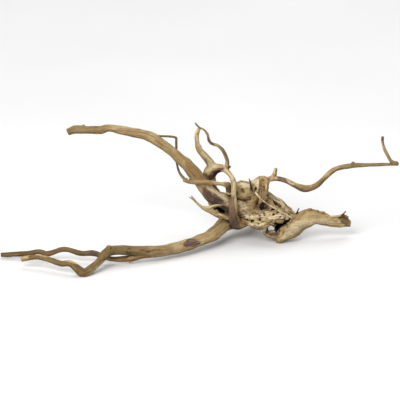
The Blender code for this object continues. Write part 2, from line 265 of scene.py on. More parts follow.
# Grooves of the front: a chain of places with the half width at each, and how deep they lie.
GROOVES = [
    ([(272.8, 199.4, 0.9), (275.6, 203.2, 1.3), (278.6, 206.4, 1.3), (280.6, 208.4, 0.8)], 2.4),
    ([(276.8, 201.4, 0.5), (279, 203.8, 0.9), (281, 206.2, 0.7)], 1.4),
    ([(269.6, 196, 0.5), (270.4, 200, 0.7), (272, 204, 0.5)], 1.2),
    ([(262, 190.6, 0.4), (261.6, 195, 0.6), (261.4, 199.4, 0.4)], 0.9),
    ([(264.3, 190.4, 0.4), (264.2, 195, 0.5), (264, 200.4, 0.4)], 0.8),
    ([(259.9, 178, 0.4), (259.6, 184, 0.7), (259.6, 191, 0.6), (259.8, 196, 0.4)], 1.2),
    ([
        (290.2, 219.2, 0.6), (286.4, 221.4, 1.3), (282.6, 223.4, 2.1), (279.4, 225.6, 2.6),
        (276.8, 228.4, 2),
    ], 6.5),
    ([(272.5, 223, 0.7), (275.6, 222.3, 1.1), (279, 223.4, 1.5)], 4.5),
    ([(277.4, 229, 0.7), (276.6, 233, 0.6)], 1.2),
    ([(280.4, 229.5, 0.6), (279.6, 235, 0.6)], 1),
    ([(283.4, 227.4, 0.5), (284.6, 231, 0.5), (284, 235, 0.4)], 0.6),
    ([(237.6, 198.2, 0.5), (241, 199.4, 0.6), (245, 200, 0.5)], 1),
    ([(229.6, 199, 0.4), (229.3, 206, 0.5), (230.4, 216, 0.4)], 0.8),
    ([(233.2, 199.6, 0.3), (234.4, 206, 0.5), (233.4, 214, 0.4)], 0.6),
]
GROOVE_STEP = 0.8
GROOVE_TAPER = 0.45

# Raised strands and folds of the front: a chain like a groove's, and how far out they stand.
STRANDS = [
    ([(237.2, 196.2, 0.8), (240.6, 197.2, 0.8), (245.2, 198.6, 0.7)], 0.5),
    ([(250.6, 194.6, 0.7), (248, 197, 0.7), (245.2, 199, 0.6)], 0.5),
    ([(261.6, 179.4, 0.7), (263.4, 182.4, 1), (262.2, 187.6, 0.9), (265.4, 190, 0.9)], 0.7),
    ([(267.2, 178.6, 0.6), (267.4, 184, 0.8), (266.6, 190, 0.8), (266.4, 197, 0.7)], 0.6),
    ([(270.4, 206.8, 0.9), (276, 210.6, 0.9), (281, 211.6, 0.8)], 0.7),
    ([(279.6, 199, 1), (283.6, 203.6, 1.1), (286.4, 207.4, 0.9)], 0.6),
    ([(277, 233, 0.9), (279, 228.6, 0.9), (282.4, 226, 0.9)], 0.8),
    ([(281.6, 235.4, 0.8), (283, 230, 0.9), (286.4, 226.6, 0.8)], 0.7),
    ([(272.6, 233.6, 0.7), (275.4, 230.6, 0.8), (278, 228, 0.6)], 0.6),
]

# How gnarled each limb or mass is, where it isn't as its table's usual.
CROWN_GNARL = 1.0
LIMB_GNARL = 0.12
GNARL = {
    "snag": 0.1, "flange": 0.3, "flange_tip": 0.5, "flange_sheet": 0.12, "arch": 0.2, "lower_band": 1.35,
    "shelf": 1.2, "heart": 0.6, "heel_to_top": 0.55, "bottom_knob": 0.5, "cross_twig": 0.25,
    "fork_twig": 0.25, "left_web": 0.8,
}

# How sooty or pale some limbs are all along.
SOOTY = {
    "dark_twig": 0.62, "snag_thorn": 0.8, "dark_stub": 0.75, "hole_strand": 0.8, "snag_hair": 0.8,
    "column_edge_twig": 0.85, "arch_spur": 0.55, "under_spur": 0.4,
}
PALE_ROUTES = {"front_rootlet": 0.6, "rootlet_bark": 0.55, "left_strand": 0.5, "top_stub": 0.3}

# Patches of colour: strength, how far behind the wood seen they reach, and a chain like a groove's.
STAINS = [
    (1, 13, [(186.4, 243.8, 3), (190, 242.2, 4.4), (194.6, 242.4, 3.8), (198.8, 242.6, 1.8)]),
    (1, 9, [(92, 252.4, 2.4), (95.4, 253.2, 2.3)]),
    (1, 10, [
        (204.6, 187.8, 1.6), (206.4, 192, 3), (211, 197.8, 3), (217, 201.6, 3.2), (225, 203.4, 2.2),
    ]),
    (0.8, 8, [(214, 194.4, 1.4), (218.6, 197.8, 1.6), (222.6, 200.4, 1.6)]),
    (1, 12, [(211.2, 175.6, 2.4), (214.2, 173, 3.2), (218.2, 170, 2.6), (222.6, 168.4, 1.6)]),
    (0.75, 8, [(205, 174.8, 2), (208.4, 177.2, 2.6), (211.2, 177.4, 1.8)]),
    (0.8, 9, [
        (231.4, 198.2, 2.6), (231.6, 206, 3.4), (232, 214, 4.2), (234, 221.4, 5.2), (235, 226.4, 5.8),
    ]),
    (0.5, 8, [(237, 199.8, 0.9), (238, 206, 1.2), (238.4, 214, 1.4)]),
    (0.8, 9, [(203, 188, 1.4), (204.6, 193.6, 2), (208.6, 199.6, 1.8), (213, 203.6, 1.6)]),
    (0.8, 4.5, [(256.6, 208.6, 1.8), (260.6, 206.6, 3.8), (265.6, 205.6, 4.2), (266.4, 201.4, 2.6)]),
    (0.6, 7, [(263.6, 191.6, 3), (263.8, 198.4, 3.4)]),
    (0.85, 8, [(279.4, 178.8, 2.8), (283.6, 180, 3.2), (286.2, 181.4, 2)]),
    (1, 6, [(207.8, 137.4, 1.6), (209, 140.8, 2.4), (211.8, 144.2, 2.2), (213.8, 144.8, 1.4)]),
    (0.9, 5, [(382, 136.6, 2), (382.6, 141, 2.2), (383.6, 145, 1.4)]),
    (1, 7, [(266.6, 232.6, 1), (271.4, 233.6, 1.9), (276.6, 234, 2.6)]),
    (0.8, 4, [(225.2, 149.6, 0.6), (228.2, 157, 0.8), (228.8, 164, 0.9)]),
    (0.9, 10, [(222.6, 206.6, 1.8), (227, 209.8, 3.4), (227.6, 214.6, 2.2)]),
    (0.55, 5, [(293, 185.6, 1), (300, 189.4, 1.4), (309, 191, 1.3)]),
    (0.5, 5, [(321, 184.6, 1), (330, 177.4, 1.2), (337, 169.6, 1)]),
    (0.6, 5, [(205.8, 158.6, 0.9), (206.2, 161.6, 1.1), (206.8, 165, 0.9)]),
    (0.45, 5, [(346, 166, 0.6), (366, 164.4, 0.6), (384, 163.4, 0.6)]),
    (0.7, 12, [(240.6, 229.4, 1), (246, 228.4, 1), (262, 227.8, 1.2)]),
]
RUSTS = [
    (1, 7, [(262.4, 178.6, 1.6), (262, 183.6, 2.2), (263.4, 188.4, 2.6)]),
    (1, 9, [(254.6, 202, 1.4), (258.6, 201.6, 2.6), (260, 206.6, 4.2), (265.6, 206, 4)]),
    (0.4, 7, [(240.4, 190, 1.6), (243.6, 192.6, 2.2), (248, 192.6, 1.4)]),
    (1, 4, [(225.8, 184.2, 1.6), (228.8, 184.6, 1.8)]),
    (0.9, 8, [(238.8, 212.4, 1.6), (241, 217, 2.8), (243, 221.6, 3.4), (246.4, 224, 2)]),
    (0.5, 6, [(248, 201, 1), (250.4, 206.4, 1.6), (249.6, 212.4, 1.4)]),
    (0.75, 4, [(218.6, 215.4, 1.2), (223, 217.2, 1.6), (226.6, 217.2, 1.2)]),
    (0.8, 10, [(186.6, 164.6, 1.6), (191.6, 169.8, 3.2), (196.6, 174.4, 3.6), (201.6, 177.6, 2.4)]),
    (0.45, 8, [(176, 150, 1.4), (182.4, 157.6, 1.8), (190, 162.6, 1.6)]),
    (0.85, 7, [(304, 213, 0.9), (300.2, 216.2, 1.1), (299.4, 220.4, 0.8)]),
    (0.7, 7, [(292.8, 215.6, 0.7), (292, 222.4, 1.2), (289.6, 225.4, 1)]),
    (0.75, 8, [
        (304.6, 210.6, 0.8), (309.6, 209.4, 1.1), (315, 210.6, 1.2), (322.4, 212.4, 1.1),
        (330, 215.6, 0.8),
    ]),
    (0.7, 6, [(331.6, 219, 0.8), (335.6, 221.2, 1.6), (339.2, 220.8, 1.3)]),
    (0.6, 6, [(343.6, 217.6, 2.2), (346.6, 221, 3)]),
    (0.85, 8, [(285.6, 224, 1.2), (284, 226.4, 1)]),
    (0.9, 8, [(279, 231, 0.9), (277, 234.4, 1.6), (278.6, 237, 1.2)]),
    (0.6, 8, [(283, 230.4, 0.8), (283.6, 233.6, 1)]),
    (1, 6, [(127.6, 260.8, 1), (136, 258, 1.6), (146, 256.6, 1.6), (152, 254.8, 1)]),
    (0.8, 6, [(110, 259.6, 1), (120, 260.2, 1.2), (130, 258.4, 1.2)]),
    (0.8, 5, [(138, 249.2, 1), (148, 250.8, 1.3), (160, 249.6, 1), (172, 248.6, 0.7)]),
    (0.5, 5, [(129.4, 250.4, 0.9), (130.2, 250.4, 0.9)]),
    (0.6, 5, [(188, 181.4, 0.9), (196, 182.4, 0.9), (212, 182, 1.2)]),
    (0.8, 5, [(210.6, 180.6, 1), (213.4, 182.8, 1.2)]),
    (0.7, 5, [(40, 254.6, 1), (48, 254, 1.3), (56, 252.6, 1), (62, 250.4, 0.9)]),
    (0.9, 6, [(81, 272.8, 1.6), (83, 271.8, 1.2)]),
    (0.55, 6, [(74, 267, 0.8), (77.6, 271, 0.9)]),
    (0.5, 5, [(286, 205.4, 1.2), (291, 208.4, 1.8), (296, 206.6, 1)]),
    (0.5, 4, [(345, 163, 0.9), (354, 162.4, 0.9)]),
    (0.6, 5, [(304, 187, 0.9), (312, 189.8, 1.2), (319, 188.4, 1)]),
    (0.6, 5, [(70, 132.4, 1.6), (74, 133.2, 1.2), (82, 132.4, 0.9)]),
    (0.45, 6, [(96, 133.4, 0.9), (106, 132.6, 1), (118, 130.8, 0.9)]),
    (0.45, 6, [(108, 125.6, 0.7), (112, 125.2, 0.8), (117, 125.8, 0.7)]),
    (0.6, 4, [(198.2, 146.4, 0.9), (199, 148, 1)]),
    (0.6, 6, [(214.6, 149, 0.6), (222, 151, 0.8), (226, 156, 0.7)]),
]
DIMS = [
    (1, 9, [(1, 255, 5), (30, 253.4, 6), (60, 250, 5), (96, 253, 3.4), (126, 257, 3)]),
    (0.85, 12, [(34, 257.6, 4), (60, 262.6, 5), (84, 271, 6), (100, 256, 6), (112, 250, 6)]),
    (0.72, 10, [(112, 250, 6), (130, 250.4, 6), (146, 250, 5.4)]),
    (0.52, 10, [(144, 250, 6), (158, 249.4, 5.2)]),
    (0.34, 10, [(156, 249.4, 6), (170, 248, 4.8)]),
    (0.17, 10, [(168, 248, 6), (180, 245.4, 5)]),
    (0.7, 9, [(296, 187.4, 4), (312, 190, 4), (330, 177, 4), (352, 164, 4), (397, 163.2, 4)]),
    (0.65, 9, [(382.8, 137, 3), (385, 150, 3), (392, 161, 3)]),
    (0.62, 9, [(70, 130, 5), (80, 129.4, 5), (86, 129, 5)]),
    (0.5, 9, [(84, 129, 5), (94, 128.8, 5)]),
    (0.38, 9, [(92, 129, 5), (104, 129, 4.6)]),
    (0.22, 12, [(102, 129, 5), (140, 136, 7), (176, 150, 8), (204, 180, 8)]),
    (0.5, 10, [(187, 162.6, 2.4), (192.6, 169.4, 3.8), (198.4, 176.6, 3.6)]),
    (0.4, 6, [(185, 181, 3), (192, 182, 3)]),
    (0.7, 9, [(341, 218, 2), (346, 219, 5), (350, 222, 6)]),
    (0.3, 9, [(273, 196, 4), (281, 203, 5), (288, 210, 4)]),
    (0.25, 6, [(207, 138, 2), (213.6, 145, 2), (223, 151, 2), (228.4, 164, 2)]),
]
PALES = [
    (0.75, 10, [(283, 238, 1.6), (289, 233, 3), (297, 229, 3.4)]),
    (1, 8, [(239.4, 202, 1.6), (244, 206.6, 3.4), (242.4, 211, 2), (249, 216, 4), (254.6, 214, 4)]),
    (0.9, 7, [(238, 185, 1.4), (243, 184.6, 2.6), (248.6, 185.6, 1.8)]),
    (0.9, 8, [(270.6, 195.6, 1.6), (276, 198.4, 2.4), (282.6, 203.6, 2.6), (288, 209.6, 1.6)]),
    (0.85, 7, [
        (258, 215.6, 2.6), (266, 213.6, 3.2), (274, 216.6, 3.6), (283, 214.6, 2.8), (288.6, 217, 2),
    ]),
    (0.9, 7, [(253.4, 180.6, 1.6), (257, 180, 2.2), (257.6, 186, 1.8), (257, 193.6, 1.6)]),
    (0.45, 6, [(225.6, 170.4, 1.2), (230, 174, 1.6), (233.2, 182, 1.8), (234, 194, 1.6)]),
    (0.9, 8, [(208, 187.6, 1.2), (214.6, 192, 2), (222, 196.6, 2.6), (227.4, 199.8, 1.6)]),
    (0.9, 4, [(219, 213.8, 0.7), (223, 216, 0.9), (226.8, 217.2, 0.7)]),
    (0.7, 7, [(248.6, 224.6, 2.4), (256, 225.6, 2), (264, 224.4, 2.2)]),
    (0.6, 6, [(209, 164, 2.2), (213.6, 166, 2.4), (205.6, 171.6, 1.6)]),
    (0.5, 6, [(196, 130, 1.2), (197.4, 142, 1.2), (202.6, 152, 1.6), (210, 160.6, 1.6)]),
    (0.5, 5, [(243, 197.4, 0.7), (239, 198.4, 0.7)]),
    (0.7, 5, [(233.4, 200, 0.5), (233.8, 208, 0.7), (232.6, 211.4, 0.4)]),
    (0.5, 9, [(290, 230, 3), (300, 224, 5), (314, 221.4, 3.4), (330, 220.4, 2.6), (340, 221, 2.4)]),
    (0.5, 6, [(276, 177, 0.8), (290, 182.4, 1), (302, 186.8, 0.9)]),
    (0.5, 6, [(274.6, 168.6, 0.9), (275.4, 172, 0.9)]),
]
# Near-black patches: soot-dark marks on the spike, twigs and lower limb, and painted shade in the deep
# cavities, pits and grooves of the crown and under the arch's base.
SOOT_AND_SHADE_PATCHES = [
    (0.7, 5, [
        (132.4, 250.4, 0.7), (131.6, 252.1, 0.7), (129.8, 252.8, 0.7), (128, 252.1, 0.7),
        (127.3, 250.4, 0.7), (128, 248.7, 0.7), (129.8, 248, 0.7), (131.4, 248.6, 0.7),
    ]),
    (0.6, 4, [(140.4, 250.2, 0.7), (142.6, 248.6, 1), (145, 249.4, 0.7)]),
    (0.65, 4, [(146, 251.2, 0.7), (150, 250.6, 1.1), (155, 249.4, 0.9), (160, 248.8, 0.6)]),
    (0.4, 4, [(112, 253.4, 0.6), (122, 253.6, 0.8), (134, 254.6, 0.6)]),
    (0.45, 5, [(128.6, 260.4, 0.7), (136, 258.2, 0.8), (146, 256.8, 0.7), (151, 255.4, 0.5)]),
    (0.5, 4, [(92, 264.4, 0.7), (95, 261.2, 0.6)]),
    (0.4, 4, [(190, 170.4, 0.6), (195, 175, 0.9)]),
    (1, 14, [(214.4, 208.4, 1.4), (218.6, 209.6, 2.6), (223.6, 211.4, 2.4)]),
    (1, 13, [
        (290.4, 219, 0.9), (286.6, 221.4, 1.7), (282.6, 223.4, 2.5), (279, 225.8, 2.9), (276, 229.8, 2),
    ]),
    (1, 9, [(274.4, 223.2, 0.9), (279, 222.6, 1.4)]),
    (0.9, 4, [(221.6, 219, 0.6), (225, 219.6, 0.9), (228.4, 220.4, 0.7)]),
    (0.8, 6, [(228, 189, 2), (229.6, 191.4, 2)]),
    (0.5, 4, [(255.6, 186.8, 0.5), (256.2, 188.8, 0.7), (256, 190.2, 0.5)]),
    (1, 6, [(271.2, 209.4, 0.7), (273, 209.2, 1.1), (274.8, 208.8, 0.6)]),
    (0.85, 6, [(248.8, 178.2, 1.2), (250.2, 183, 1.4), (251.4, 188, 1.6), (252.4, 191, 0.9)]),
    (0.9, 8, [(214.4, 174.4, 1.2), (217.4, 171.6, 1.2), (220.6, 169.4, 0.8)]),
    (0.7, 4, [(289.6, 211.2, 0.7), (292.8, 213, 1)]),
    (0.7, 5, [(277, 168.6, 0.7), (276.4, 172, 0.8), (275.4, 176, 0.7)]),
    (0.35, 5, [(262.6, 209, 2), (265.6, 207.6, 2)]),
    (0.7, 4, [(267.4, 181.6, 0.5), (267.6, 187, 0.6), (267, 190.4, 0.6)]),
    (0.8, 8, [(231, 226.8, 0.5), (236, 228.4, 0.7), (243, 228.8, 0.6)]),
    (0.7, 4, [(272.8, 199.6, 0.6), (275, 203.2, 1), (278.4, 206.6, 1.1), (280.4, 208.8, 0.8)]),
    (0.8, 3, [(222.8, 164.4, 0.7), (224.4, 164.8, 0.6)]),
    (0.7, 4, [(267.2, 194.6, 0.7), (267.8, 196.4, 0.7)]),
    (0.8, 4, [(266.8, 200.2, 0.8), (268, 201.2, 0.7)]),
    (0.9, 4, [(252, 220.4, 0.7), (253.2, 220.8, 0.7)]),
    (0.8, 5, [(205.6, 178.6, 0.6), (209, 178.8, 0.7), (212.6, 177.8, 0.6)]),
    (0.6, 4, [(261.4, 178.2, 0.5), (260.6, 184, 0.5), (260.4, 190, 0.5)]),
    (0.6, 6, [(343.6, 215.4, 0.6), (348, 219, 0.9), (350, 223, 0.9)]),
    (0.3, 6, [(344.6, 218.4, 1.8), (347, 221.6, 2.2)]),
    (0.5, 5, [(196.6, 124.6, 1.4), (199.1, 127.2, 1.4), (204.2, 129.8, 1.6), (207.5, 134.8, 1.8)]),
    (0.5, 5, [(219, 145.4, 0.8), (223.9, 150, 1.2), (227.3, 157.8, 1.3), (227.9, 163.6, 1.2)]),
    (0.7, 4, [(228.8, 167.6, 1.5), (230, 166.2, 1.6)]),
    (0.5, 6, [(340.6, 219.6, 0.7), (343.6, 221.6, 1.3), (347.6, 224.4, 1.5)]),
    (0.6, 6, [(288, 225.6, 0.6), (288.6, 227.2, 0.8)]),
    (0.6, 3, [(266, 233.2, 0.7), (270, 234.6, 0.8), (275, 236.8, 0.6)]),
]

# Bumps and hollows of a limb or mass, as a share of its radius, and how long they are.
LIMB_RELIEF = 0.13
CROWN_RELIEF = 0.16
RELIEF_LENGTH = 11

# Heights and depths of the finer relief in millimetres, and what a fully gnarled place adds.
CRUMB = 0.75
FINE_CRUMB = 0.42
SWAY = 0.28
FLUTE = 0.16
GNARLED_FLUTE = 0.3
SPLIT = 0.2
GNARLED_SPLIT = 0.5
PIT = 0.75
BURROW = 1.5

# Noise in the wood: the length of its waves, even or along and across the fibre, and its seed.
WAVES = {
    "crumb": (6.5, 1), "fine_crumb": (3.1, 2), "sway": ((10, 5, 5), 3), "flutes": ((15, 1.5, 1.5), 4),
    "splits": ((30, 4.2, 4.2), 5), "split_places": ((40, 9, 9), 10), "pits": (2.4, 6), "pit_places": (7, 7),
    "burrows": ((5, 5, 3.4), 8), "burrow_edges": (1.9, 9), "blotch": (24, 60), "blotch_edge": (7, 61),
    "blotch_fray": (2.6, 62), "bloom": (19, 63), "bloom_edge": (6, 64), "bloom_fray": (2.4, 65),
    "shift_across": (4.2, 20), "shift_across_fine": (1.7, 22), "shift_up": (4.2, 21),
    "shift_up_fine": (1.7, 23),
}

# Shares of the way to their neighbours' mean that the corners move, out and back, to smooth them.
SMOOTHING = (0.5, -0.52, 0.5, -0.52, 0.4)

# How many times a value is evened out over the corners beside it.
GNARL_PASSES = 14
SWELL_PASSES = 10
TINT_PASSES = 3
CLOSE_PASSES = 4
WIDE_PASSES = 24

# How softly a patch ends across, in pixels, and behind, in millimetres.
PATCH_EDGE = (-0.25, 0.45)
PATCH_BACK = (-1.5, 1.5)

# Waves and sway of a pit's edge, by its narrower half width.
PIT_WAVE = 2.1
PIT_SWAY = 0.45

# Stations of a route lie this far apart, and its fibre starts this much further on than the last one's.
ROUTE_GAP = 1.6
FIBRE_SHIFT = 37.7
FIRST_SIDE = (0.3, 0.2, 1.0)

# How near a route's end, in radii, its level end cuts it off.
TIP_REACH = 2.5

BOX_MARGIN = 3
ROUTE_MARGIN = 5
MOST_PAIRS = 3000000
FAR = 1000.0
RIGHTWARD = np.array((1.0, 0, 0))
AWAY = np.array((0, math.cos(VIEW_TILT), -math.sin(VIEW_TILT)))
UPWARD = np.array((0, math.sin(VIEW_TILT), math.cos(VIEW_TILT)))


def place(across, rise, depth):
    """A point of the sight plane and the way behind it, in the root's own frame, in millimetres."""
    height = (rise - depth * math.sin(VIEW_TILT)) / math.cos(VIEW_TILT)
    return np.array((across - CENTRE_ACROSS, depth - CENTRE_DEPTH, height))


def sight(points):
    """Where points lie in the photograph's frame, and how far behind its sight plane."""
    depth = points[:, 1] + CENTRE_DEPTH
    rise = points[:, 2] * math.cos(VIEW_TILT) + depth * math.sin(VIEW_TILT)
    across = points[:, 0] + CENTRE_ACROSS
    return PHOTO_MIDDLE + across / PHOTO_MM, PHOTO_GROUND - rise / PHOTO_MM, depth


def catmull(before, start, end, after, t):
    return 0.5 * (
        2 * start
        + (end - before) * t
        + (2 * before - 5 * start + 4 * end - after) * t * t
        + (3 * start - before - 3 * end + after) * t * t * t
    )


def smooth_route(points):
    """Centres and radii close together along a limb."""
    knots = [(place(*point[:3]), point[3] / 2) for point in points]
    first, last = knots[0], knots[-1]
    before_first = (2 * first[0] - knots[1][0], first[1])
    after_last = (2 * last[0] - knots[-2][0], last[1])
    knots = [before_first] + knots + [after_last]
    centres, radii = [], []
    for before, start, end, after in zip(knots, knots[1:], knots[2:], knots[3:]):
        steps = max(2, round(float(np.linalg.norm(end[0] - start[0])) / ROUTE_GAP))
        for step in range(steps):
            t = step / steps
            centres.append(catmull(before[0], start[0], end[0], after[0], t))
            radii.append(start[1] + (end[1] - start[1]) * t * t * (3 - 2 * t))
    centres.append(last[0])
    radii.append(last[1])
    return np.array(centres), np.array(radii)


def unit(vector):
    return vector / np.linalg.norm(vector)


def smooth_min(a, b, width):
    near = np.maximum(width - np.abs(a - b), 0) / width
    return np.minimum(a, b) - near * near * (width / 4)


def block(start, stop):
    return tuple(slice(start[k], stop[k]) for k in range(3))


class Field:
    """How far each point of a fine lattice lies outside the wood, in millimetres; less than 0 is inside."""

    def __init__(self, low, high):
        self.low = low
        shape = np.ceil((high - low) / STEP).astype(int) + 1
        self.values = np.full(shape, FAR, np.float32)

    def window(self, low, high):
        most = np.array(self.values.shape)
        start = np.clip(np.floor((low - self.low) / STEP).astype(int), 0, most)
        stop = np.clip(np.ceil((high - self.low) / STEP).astype(int) + 1, start, most)
        return start, stop

    def offsets(self, start, stop, origin):
        """How far that part of the lattice lies from the origin, on each axis."""
        x, y, z = (
            (self.low[i] + STEP * np.arange(start[i], stop[i])).astype(np.float32) - origin[i]
            for i in range(3)
        )
        return x[:, None, None], y[None, :, None], z[None, None, :]

    def tube(self, centres, radii, reach, flat=1.0):
        """The distance from a limb, within reach of it, with level ends."""
        wide = radii[:, None]
        low, high = (centres - wide).min(axis=0), (centres + wide).max(axis=0)
        start, stop = self.window(low - reach, high + reach)
        local = np.full(stop - start, FAR, np.float32)
        tips = ((0, unit(centres[0] - centres[1])), (len(centres) - 1, unit(centres[-1] - centres[-2])))
        for i in range(len(centres) - 1):
            a, b, ra, rb = centres[i], centres[i + 1], radii[i], radii[i + 1]
            widest = max(ra, rb) + reach
            low, high = self.window(np.minimum(a, b) - widest, np.maximum(a, b) + widest)
            low, high = np.maximum(low, start), np.minimum(high, stop)
            if (high <= low).any():
                continue
            x, y, z = self.offsets(low, high, a)
            along = b - a
            length2 = float(along @ along)
            t = np.clip((x * along[0] + y * along[1] + z * along[2]) / length2, 0, 1)
            dx, dy, dz = x - t * along[0], y - t * along[1], z - t * along[2]
            squared = dx * dx + dy * dy + dz * dz
            if flat != 1:
                deep = dy * AWAY[1] + dz * AWAY[2]
                squared = squared + deep * deep * (1 / flat**2 - 1)
            gap = np.sqrt(squared) - (ra + (rb - ra) * t)
            for tip, outward in tips:
                end = centres[tip]
                if np.linalg.norm(a - end) < TIP_REACH * radii[tip] + ROUTE_GAP:
                    past = sum((way + a[k] - end[k]) * outward[k] for k, way in enumerate((x, y, z)))
                    gap = np.maximum(gap, past)
            inner = block(low - start, high - start)
            local[inner] = np.minimum(local[inner], gap)
        return block(start, stop), local

    def grow(self, centres, radii, fillet, flat=1.0):
        where, local = self.tube(centres, radii, fillet + 2 * STEP, flat)
        self.values[where] = smooth_min(self.values[where], local, fillet)

    def carve(self, centres, radii, fillet):
        where, local = self.tube(centres, radii, fillet + 2 * STEP)
        self.values[where] = -smooth_min(-self.values[where], local, fillet)

    def scoop(self, centre, right, up, half):
        """Takes out an uneven ellipsoid with the given half widths to the right, upward and in."""
        reach = max(half) + PIT_FILLET + 2 * STEP
        start, stop = self.window(centre - reach, centre + reach)
        x, y, z = self.offsets(start, stop, centre)
        narrow, turn = min(half[:2]), centre.sum()
        wave, sway = PIT_WAVE / narrow, PIT_SWAY * narrow
        x, z = (
            x + sway * np.sin(wave * z + 0.6 * wave * y + turn),
            z + sway * np.sin(1.3 * wave * x - 0.5 * wave * y + 2 * turn) * np.cos(0.7 * wave * z),
        )
        total = 0
        for axis, width in zip((right, up, AWAY), half):
            total = total + ((x * axis[0] + y * axis[1] + z * axis[2]) / width) ** 2
        gap = ((np.sqrt(total) - 1) * min(half)).astype(np.float32)
        where = block(start, stop)
        self.values[where] = -smooth_min(-self.values[where], gap, PIT_FILLET)

    def at(self, points):
        """The field between lattice points."""
        place_in = (points - self.low) / STEP
        cell = np.clip(np.floor(place_in).astype(int), 0, np.array(self.values.shape) - 2)
        part = place_in - cell
        total = 0
        for corner in np.ndindex(2, 2, 2):
            weight = np.prod(np.where(corner, part, 1 - part), axis=1)
            i, j, k = (cell + corner).T
            total = total + weight * self.values[i, j, k]
        return total

    def seen(self, u, v, start=NEAREST):
        """The first wood behind a place in the photograph's frame, no nearer than the start."""
        across, rise = (u - PHOTO_MIDDLE) * PHOTO_MM, (PHOTO_GROUND - v) * PHOTO_MM
        depths = np.arange(start, FURTHEST, SIGHT_STEP)
        line = np.array([place(across, rise, depth) for depth in depths])
        inside = np.flatnonzero(self.at(line) < 0)
        return line[inside[0]] if len(inside) else None

    def surface(self):
        """The wood's surface: a corner in each cell that it crosses, and a square across each edge."""
        inside = self.values < 0
        count = np.zeros(np.array(inside.shape) - 1, np.uint8)
        for corner in np.ndindex(2, 2, 2):
            count += inside[tuple(slice(c, n - 1 + c) for c, n in zip(corner, inside.shape))]
        cells = np.argwhere((count > 0) & (count < 8))
        ids = np.full(count.shape, -1, np.int32)
        ids[tuple(cells.T)] = np.arange(len(cells))
        total = np.zeros((len(cells), 3))
        crossings = np.zeros(len(cells))
        for axis in range(3):
            others = [k for k in range(3) if k != axis]
            for side in np.ndindex(2, 2):
                near = np.zeros(3, int)
                near[others] = side
                far = near.copy()
                far[axis] = 1
                a = self.values[tuple((cells + near).T)]
                b = self.values[tuple((cells + far).T)]
                crossed = (a < 0) != (b < 0)
                t = a[crossed] / (a[crossed] - b[crossed])
                total[crossed] += near
                total[crossed, axis] += t
                crossings[crossed] += 1
        points = self.low + STEP * (cells + total / crossings[:, None])
        faces = []
        for axis in range(3):
            others = [k for k in range(3) if k != axis]
            a = [slice(1, n - 1) for n in inside.shape]
            b = list(a)
            a[axis] = slice(0, inside.shape[axis] - 1)
            b[axis] = slice(1, inside.shape[axis])
            here, there = inside[tuple(a)], inside[tuple(b)]
            for leaving in (True, False):
                edges = np.argwhere((here != there) & (here == leaving))
                edges[:, others] += 1
                corners = []
                for one, other in ((0, 0), (1, 0), (1, 1), (0, 1)):
                    cell = edges.copy()
                    cell[:, others[0]] -= one
                    cell[:, others[1]] -= other
                    corners.append(ids[tuple(cell.T)])
                square = np.stack(corners, axis=1)
                if leaving == (axis == 1):
                    square = square[:, ::-1]
                faces.append(square)
        return points, np.concatenate(faces)


PRIMES = (374761393, 668265263, 1440662683, 1274126177)
GRADIENTS = np.array(
    [(x, y, 0) for x in (1, -1) for y in (1, -1)]
    + [(x, 0, z) for x in (1, -1) for z in (1, -1)]
    + [(0, y, z) for y in (1, -1) for z in (1, -1)]
    + [(1, 1, 0), (-1, 1, 0), (0, -1, 1), (0, -1, -1)]
)


def waves(kind, points):
    """Smooth gradient noise, about -1 to 1, with that kind's wavelength and seed."""
    length, seed = WAVES[kind]
    points = points / length
    cell = np.floor(points).astype(np.int64)
    part = points - cell
    ease = part * part * part * (part * (part * 6 - 15) + 10)
    total = np.zeros(len(points))
    for corner in np.ndindex(2, 2, 2):
        x, y, z = (cell + corner).T
        mixed = (x * PRIMES[0] + y * PRIMES[1] + z * PRIMES[2] + seed * PRIMES[3]) & 0xFFFFFFFF
        mixed = ((mixed ^ (mixed >> 13)) * PRIMES[3]) & 0xFFFFFFFF
        slope = GRADIENTS[(mixed ^ (mixed >> 16)) & 15]
        weight = np.prod(np.where(corner, ease, 1 - ease), axis=1)
        total += weight * ((part - corner) * slope).sum(axis=1)
    return total


def ramp(values, low, high):
    """0 at low, 1 at high and smooth between them."""
    t = np.clip((values - low) / (high - low), 0, 1)
    return t * t * (3 - 2 * t)


def averaged(values, edges):
    """Each corner's mean over the corners beside it."""
    size = len(values)
    count = np.bincount(edges.ravel(), minlength=size)
    flipped = edges[:, ::-1].ravel()
    if values.ndim == 1:
        return np.bincount(edges.ravel(), values[flipped], size) / count
    return np.stack([averaged(column, edges) for column in values.T], axis=1)


def spread(values, edges, times):
    for _ in range(times):
        values = 0.5 * values + 0.5 * averaged(values, edges)
    return values


def corner_normals(points, faces):
    a, b, c, d = (points[faces[:, k]] for k in range(4))
    face = np.cross(c - a, d - b)
    total = np.stack(
        [np.bincount(faces.ravel(), np.repeat(face[:, k], 4), len(points)) for k in range(3)], axis=1
    )
    return total / np.maximum(np.linalg.norm(total, axis=1, keepdims=True), 1e-9)


def along_frames(centres):
    """Two directions square to the route at each station, turned as little as it allows."""
    tangents = np.gradient(centres, axis=0)
    tangents /= np.linalg.norm(tangents, axis=1, keepdims=True)
    sides = []
    side = np.array(FIRST_SIDE)
    for tangent in tangents:
        side = unit(side - tangent * (side @ tangent))
        sides.append(side)
    sides = np.array(sides)
    return tangents, sides, np.cross(tangents, sides)


